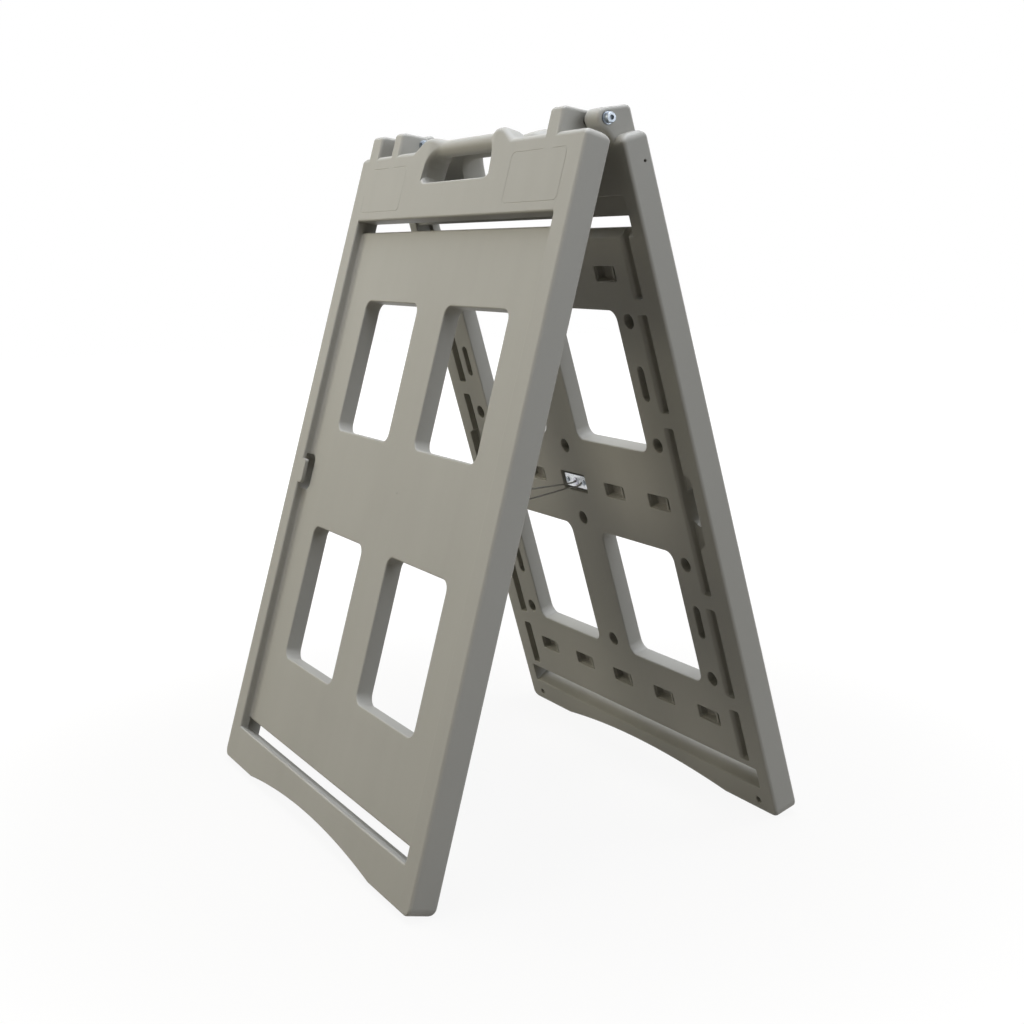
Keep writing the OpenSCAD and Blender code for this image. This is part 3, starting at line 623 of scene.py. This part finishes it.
def handle():
    """Grip bar and both shoulders in one skin: a section across the side, carried along u.
    It is a circle in the middle, swells with smooth steps to the side's full thickness
    where the shoulders begin, drops below with a quarter ellipse, and its top then falls
    back to the header."""
    grip_r, grip_top, top_rise, top_fall = 12, 957.5, 2.0, 18.5
    drop_half, drop_deep, shoulder_end = 22, 32, 150
    swell_from, rise_from, rise_to, fall_from, fall_to = 68, 66, 92, 104, 147
    x = np.concatenate([
        np.linspace(0, 56, 6), np.linspace(60, hand_half, 20), np.linspace(100, shoulder_end, 18),
    ])
    swell = blend_up(x, swell_from, hand_half)
    wide = grip_r + (middle_w - grip_r) * swell
    rise = top_rise * blend_up(x, rise_from, rise_to)
    top = grip_top + rise - top_fall * blend_up(x, fall_from, fall_to)
    drop = np.clip((x - hand_half + drop_half) / drop_half, 0, 1)
    low = grip_top - 2 * grip_r - drop_deep * (1 - np.sqrt(1 - drop**2))
    low = np.where(x > hand_half, buried_v, low)
    a = np.radians(np.linspace(0, 90, 9))
    rings = []
    for k in range(len(x)):
        front, back, under = grip_r - 3 * swell[k], grip_r + swell[k], grip_r - 4 * swell[k]
        ring = []
        for w, v, r, start in (
            (middle_w + wide[k] - back, top[k] - back, back, 0),
            (middle_w - wide[k] + front, top[k] - front, front, 90),
            (middle_w - wide[k] + under, low[k] + under, under, 180),
            (middle_w + wide[k] - under, low[k] + under, under, 270),
        ):
            t = a + np.radians(start)
            ring.append(np.stack([np.full(9, x[k]), w + r * np.cos(t), v + r * np.sin(t)], 1))
        rings.append(np.vstack(ring))
    right_half = np.array(rings)
    left_half = right_half[:0:-1] * np.array([-1, 1, 1])
    return skin(np.concatenate([left_half, right_half]))


def across_bore(u0, u1, r, w=axis_w, v=axis_v):
    """Cylinder along u."""
    a = np.linspace(0, 2 * np.pi, 40, endpoint=False)
    ring = np.stack([w + r * np.cos(a), v + r * np.sin(a)], 1)
    return skin(np.array([np.column_stack([np.full(40, u), ring]) for u in (u0, u1)]))


def carved(start, stages):
    """The mesh of a solid after its stages. Each stage has an operation and groups of
    parts, and each group is one tool."""
    weld_mm = 0.004
    body = solid("moulding", [start])
    tools = []
    for operation, groups in stages:
        for group in groups:
            tool = solid("tool", group)
            step = body.modifiers.new("step", "BOOLEAN")
            step.operation, step.solver, step.object = operation, "MANIFOLD", tool
            tools.append(tool)
    bpy.context.view_layer.update()
    shape = bpy.data.meshes.new_from_object(
        body.evaluated_get(bpy.context.evaluated_depsgraph_get())
    )
    for tool in tools + [body]:
        data = tool.data
        bpy.data.objects.remove(tool)
        bpy.data.meshes.remove(data)
    work = bmesh.new()
    work.from_mesh(shape)
    bmesh.ops.remove_doubles(work, verts=work.verts, dist=weld_mm)
    bmesh.ops.dissolve_degenerate(work, edges=work.edges, dist=weld_mm)
    work.to_mesh(shape)
    work.free()
    return shape


def moulding():
    """One side: the slab less its hollows, then the tab, pad, grip, shoulders and hinge
    arms are joined and the hinge bores cut."""
    middle_v, half_v, field_floor_r = (field_foot + field_head) / 2, (field_head - field_foot) / 2, 4.0
    tab_u, tab_hu, tab_hv, tab_hole_u, tab_hole_hu, tab_hole_hv = -281.5, 10.5, 18.5, -278.5, 13.5, 27.5
    strip_v, strip_hu, strip_hv, strip_floor = 852, 292, 17.6, 33
    hand_v, hand_hv, lip_u, lip_v = 931.5, 40, 8.0, 3.0
    plate_hu, plate_hv, plate_floor, plate_hole_r = 31.4, 14.4, 21, 3.25
    pad_hu, pad_hv, pad_low, pad_high = 27, 10, 20.0, 32.0
    bolt_r, bush_r, washer_r, arm_end_r, past = 4.1, 6.55, 9.0, 5.0, 1
    vent_r, vent_deep, vent_w, vent_v = 2.1, 11.5, 12.3, 905.0

    field = plug(rounded(0, middle_v, field_u, half_v, 4.5, 7), pit(0, recess, 2.5, field_floor_r))
    shallow, deep = pockets()
    narrow, wide = grooves()
    tab_hole_outline = rounded(tab_hole_u, band_v, tab_hole_hu, tab_hole_hv, 12, 9)
    tab_hole = plug(tab_hole_outline, pit(thick, 5, 1.2, 0.5))
    strip = plug(rounded(0, strip_v, strip_hu, strip_hv, 4, 6), pit(thick, strip_floor, 1.0, 1.2))
    hand = rounded(0, hand_v, hand_half, hand_hv, 14, 9)
    hand_hole = soft_plug(hand, lip_u * hand[1][:, 0] ** 2 + lip_v * hand[1][:, 1] ** 2)
    plate_pocket = plug(
        rounded(0, band_v, plate_hu, plate_hv, 3, 5), pit(thick, plate_floor, 1.5, 1.0)
    )
    tab_rows = [(-1.4, 0.0), (-0.8, 0.2), (-0.25, 0.65), (0.0, 1.4), (0.0, 5.0)]
    tab = plug(rounded(tab_u, band_v, tab_hu, tab_hv, 5, 7), np.array(tab_rows))
    pad_rows = [(0.0, pad_low), (0.0, pad_high)]
    pad = plug(rounded(0, band_v, pad_hu, pad_hv, 1.2, 4), np.array(pad_rows))
    arms = [arm(*ends, arm_end_r) for ends in (fork_outer, fork_inner, tongue)]
    bolt_bore = across_bore(fork_outer[0] - past, fork_inner[1] + past, bolt_r)
    bush_bore = across_bore(tongue[0] - past, tongue[1] + past, bush_r)
    washer_seat = across_bore(fork_outer[0] - past, fork_outer[0] + past, washer_r)
    edge_vent = across_bore(-half_width - 2.5, -half_width + vent_deep, vent_r, vent_w, vent_v)
    plate_hole_rows = [(0.0, pad_high + past), (0.0, pad_low - past)]
    plate_hole = plug(ringed(0, band_v, plate_hole_r, 20), np.array(plate_hole_rows))
    return carved(slab(), [
        ("DIFFERENCE", [
            [field], slots(), holes(), shallow, deep, narrow, wide,
            [tab_hole], [strip], [hand_hole], [plate_pocket],
        ]),
        ("UNION", [[tab], [pad], [handle()], arms]),
        ("DIFFERENCE", [[bolt_bore, bush_bore], [washer_seat, edge_vent], [plate_hole]]),
    ])


def side_piece(name, shape, rear):
    """The moulding stood in its place, with smooth shading that the large faces lead."""
    mesh = shape.copy()
    mesh.name = name
    co = np.empty(len(mesh.vertices) * 3)
    mesh.vertices.foreach_get("co", co)
    mesh.vertices.foreach_set("co", stood(co.reshape(-1, 3), rear).ravel())
    mesh.shade_smooth()
    mesh.set_sharp_from_angle(angle=np.radians(38))
    obj = bpy.data.objects.new(name, mesh)
    bpy.context.scene.collection.objects.link(obj)
    even = obj.modifiers.new("even", "WEIGHTED_NORMAL")
    even.keep_sharp = True
    even.weight = 80
    return obj


def polyethylene():
    """Satin grey plastic: the colour drifts slowly and in faint upright flow streaks, and
    the skin is very finely pebbled."""
    plastic = Finish("polyethylene", Specular_IOR_Level=0.2)
    drift = plastic.noise(1.0, 3.0, (3.0, 3.0, 2.2))
    streak = plastic.noise(1.0, 2.0, (26.0, 3.0, 1.1))
    fleck = plastic.noise(420.0, 2.0)
    shade = drift * 0.6 + streak * 0.3 + fleck * 0.1
    pebble = plastic.noise(900.0, 2.0)
    sink = plastic.noise(14.0, 1.0, (1.0, 1.0, 0.6))
    relief = sink * 0.9 + pebble * 0.06
    plastic.feed(
        Base_Color=plastic.ramp(shade, 0.30, (0.342, 0.331, 0.292), 0.70, (0.392, 0.382, 0.341)),
        Roughness=0.44 + streak * 0.10 + fleck * 0.06,
        Normal=plastic.node("Bump", Strength=0.35, Distance=0.001, Height=relief),
    )
    return plastic


shape = moulding()
front_side = side_piece("front_moulding", shape, False)
rear_side = side_piece("rear_moulding", shape, True)
polyethylene().dress(front_side, rear_side)
for piece, body, node in ((front_side, "front", "front_side"), (rear_side, "rear", "rear_side")):
    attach(piece, body)
    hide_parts(node)

# Hinge hardware
# Two socket head bolts, each with a washer under its head and a washer and lock nut at its
# end, all bright zinc plated. The bolt passes through a black nylon bush between the arms.
zinc = Finish("zinc_plate", Metallic=1.0)
haze = zinc.noise(260.0, 4.0)
zinc.feed(
    Base_Color=zinc.ramp(haze, 0.35, (0.20, 0.225, 0.25), 0.68, (0.38, 0.415, 0.45)),
    Roughness=0.26 + haze * 0.24,
)
nylon = Finish("nylon", Roughness=0.45)
nylon.feed(Base_Color=nylon.ramp(
    nylon.noise(300.0, 2.0), 0.3, (0.022, 0.022, 0.021), 0.7, (0.034, 0.034, 0.032)))
for hand in ("left", "right"):
    for part in ("bolt", "head_washer", "nut_washer", "lock_nut"):
        zinc.dress(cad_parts[f"{hand}_{part}"])
    nylon.dress(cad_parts[f"{hand}_bush"])

# Cord anchors
# A small galvanised plate sits on a pad in the middle pocket of each inner face, held by
# two pan head screws, with a nickel plated eyelet riveted in its middle for the cord.
sheet = Finish("galvanised", Metallic=1.0)
cells = sheet.node("TexVoronoi", Vector=sheet.place(), Scale=220.0)
clouds = sheet.noise(90.0, 3.0)
spangle = cells * 0.6 + clouds * 0.5
sheet.feed(
    Base_Color=sheet.ramp(spangle, 0.2, (0.50, 0.52, 0.54), 0.8, (0.80, 0.82, 0.84)),
    Roughness=0.32 + clouds * 0.2,
)
nickel = Finish("nickel", Metallic=1.0)
rub = nickel.noise(400.0, 3.0)
nickel.feed(
    Base_Color=nickel.ramp(rub, 0.3, (0.46, 0.46, 0.52), 0.7, (0.66, 0.66, 0.72)),
    Roughness=0.28 + rub * 0.2,
)
for end in ("front", "rear"):
    sheet.dress(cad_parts[f"{end}_anchor_plate"])
    nickel.dress(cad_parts[f"{end}_eyelet"])
    zinc.dress(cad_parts[f"{end}_anchor_screws"])

# Floor
# A plain studio floor that shows to the camera and to metal as almost white, fully so from
# fade_end on, and keeps a soft shadow of the sign. Its own colour lights the sign from below.
floor_half, floor_thick = 9, 0.02
fade_start, fade_end, least_white = 0.45, 1.6, 0.82
floor = solid("floor", [skin(np.array([
    [(sx * floor_half, sy * floor_half, z) for sx, sy in ((-1, -1), (1, -1), (1, 1), (-1, 1))]
    for z in (-floor_thick, 0.0)
]))])
pale = Finish("pale_floor", Roughness=0.9, Base_Color=(0.20, 0.185, 0.16, 1))
here = pale.node("TexCoord", output="Object")
away = pale.node("VectorMath", {"operation": "LENGTH"}, "Value", _0=here)
fade = pale.node(
    "MapRange", {"interpolation_type": "SMOOTHSTEP"}, Value=away,
    From_Min=fade_start, From_Max=fade_end, To_Min=least_white, To_Max=1.0,
)
white = pale.node("Emission", Color=(1, 1, 1, 1), Strength=1.12)
lit = Wire(pale.tree, pale.shader.outputs[0])
surface = pale.node("MixShader", _0=pale.seen() * fade, _1=lit, _2=white)
pale.fill(pale.tree.nodes["Material Output"], Surface=surface)
pale.dress(floor)

# Light
# Soft studio light from five disc lamps: a large one overhead, two warm ones on the front
# side, a cool one at the open side and one behind. The surround adds a faint glow that is
# strongest from the front and above, and shows to the camera and to metal as white.
world = bpy.data.worlds.new("studio")
bpy.context.scene.world = world
world.use_nodes = True
air = Nodes(world.node_tree)
way = air.node("TexCoord", output="Generated")
facing = air.node("VectorMath", {"operation": "DOT_PRODUCT"}, "Value", _0=way, _1=(0.0, -0.8, 0.6))
facing = facing.at_least(0.0)
glow = air.tree.nodes["Background"]
air.fill(glow, Color=(1.0, 1.0, 0.83, 1), Strength=facing * facing * 0.12)
backdrop = air.node("Background", Color=(1, 1, 1, 1))
sky = air.node("MixShader", _0=air.seen(), _1=Wire(air.tree, glow.outputs[0]), _2=backdrop)
air.fill(air.tree.nodes["World Output"], Surface=sky)


def lamp(name, place, aim, size, power, colour):
    """Disc lamp of a diameter in metres and a power in watts, turned from place to aim."""
    light = bpy.data.lights.new(name, "AREA")
    light.shape, light.size, light.energy, light.color = "DISK", size, power, colour
    facing_aim = (Vector(aim) - Vector(place)).to_track_quat("-Z", "Y")
    obj = bpy.data.objects.new(name, light)
    obj.matrix_world = Matrix.Translation(place) @ facing_aim.to_matrix().to_4x4()
    bpy.context.scene.collection.objects.link(obj)


middle = (0, 0, 0.6)
lamp("overhead", (0, 0, 3.2), (0, 0, 0.5), 2.4, 118, (0.85, 0.89, 1.0))
lamp("left front", (-2.6, -2.3, 1.6), middle, 1.8, 34, (1.0, 0.97, 0.80))
lamp("front", (-0.2, -3.4, 2.2), middle, 1.8, 30, (1.0, 0.93, 0.82))
lamp("back", (0.6, 3.4, 2.0), middle, 1.8, 34, (0.95, 0.97, 1.0))
lamp("side", (3.2, 0.7, 1.4), middle, 1.6, 40, (0.87, 0.91, 1.0))

bpy.context.scene.view_settings.view_transform = "Standard"
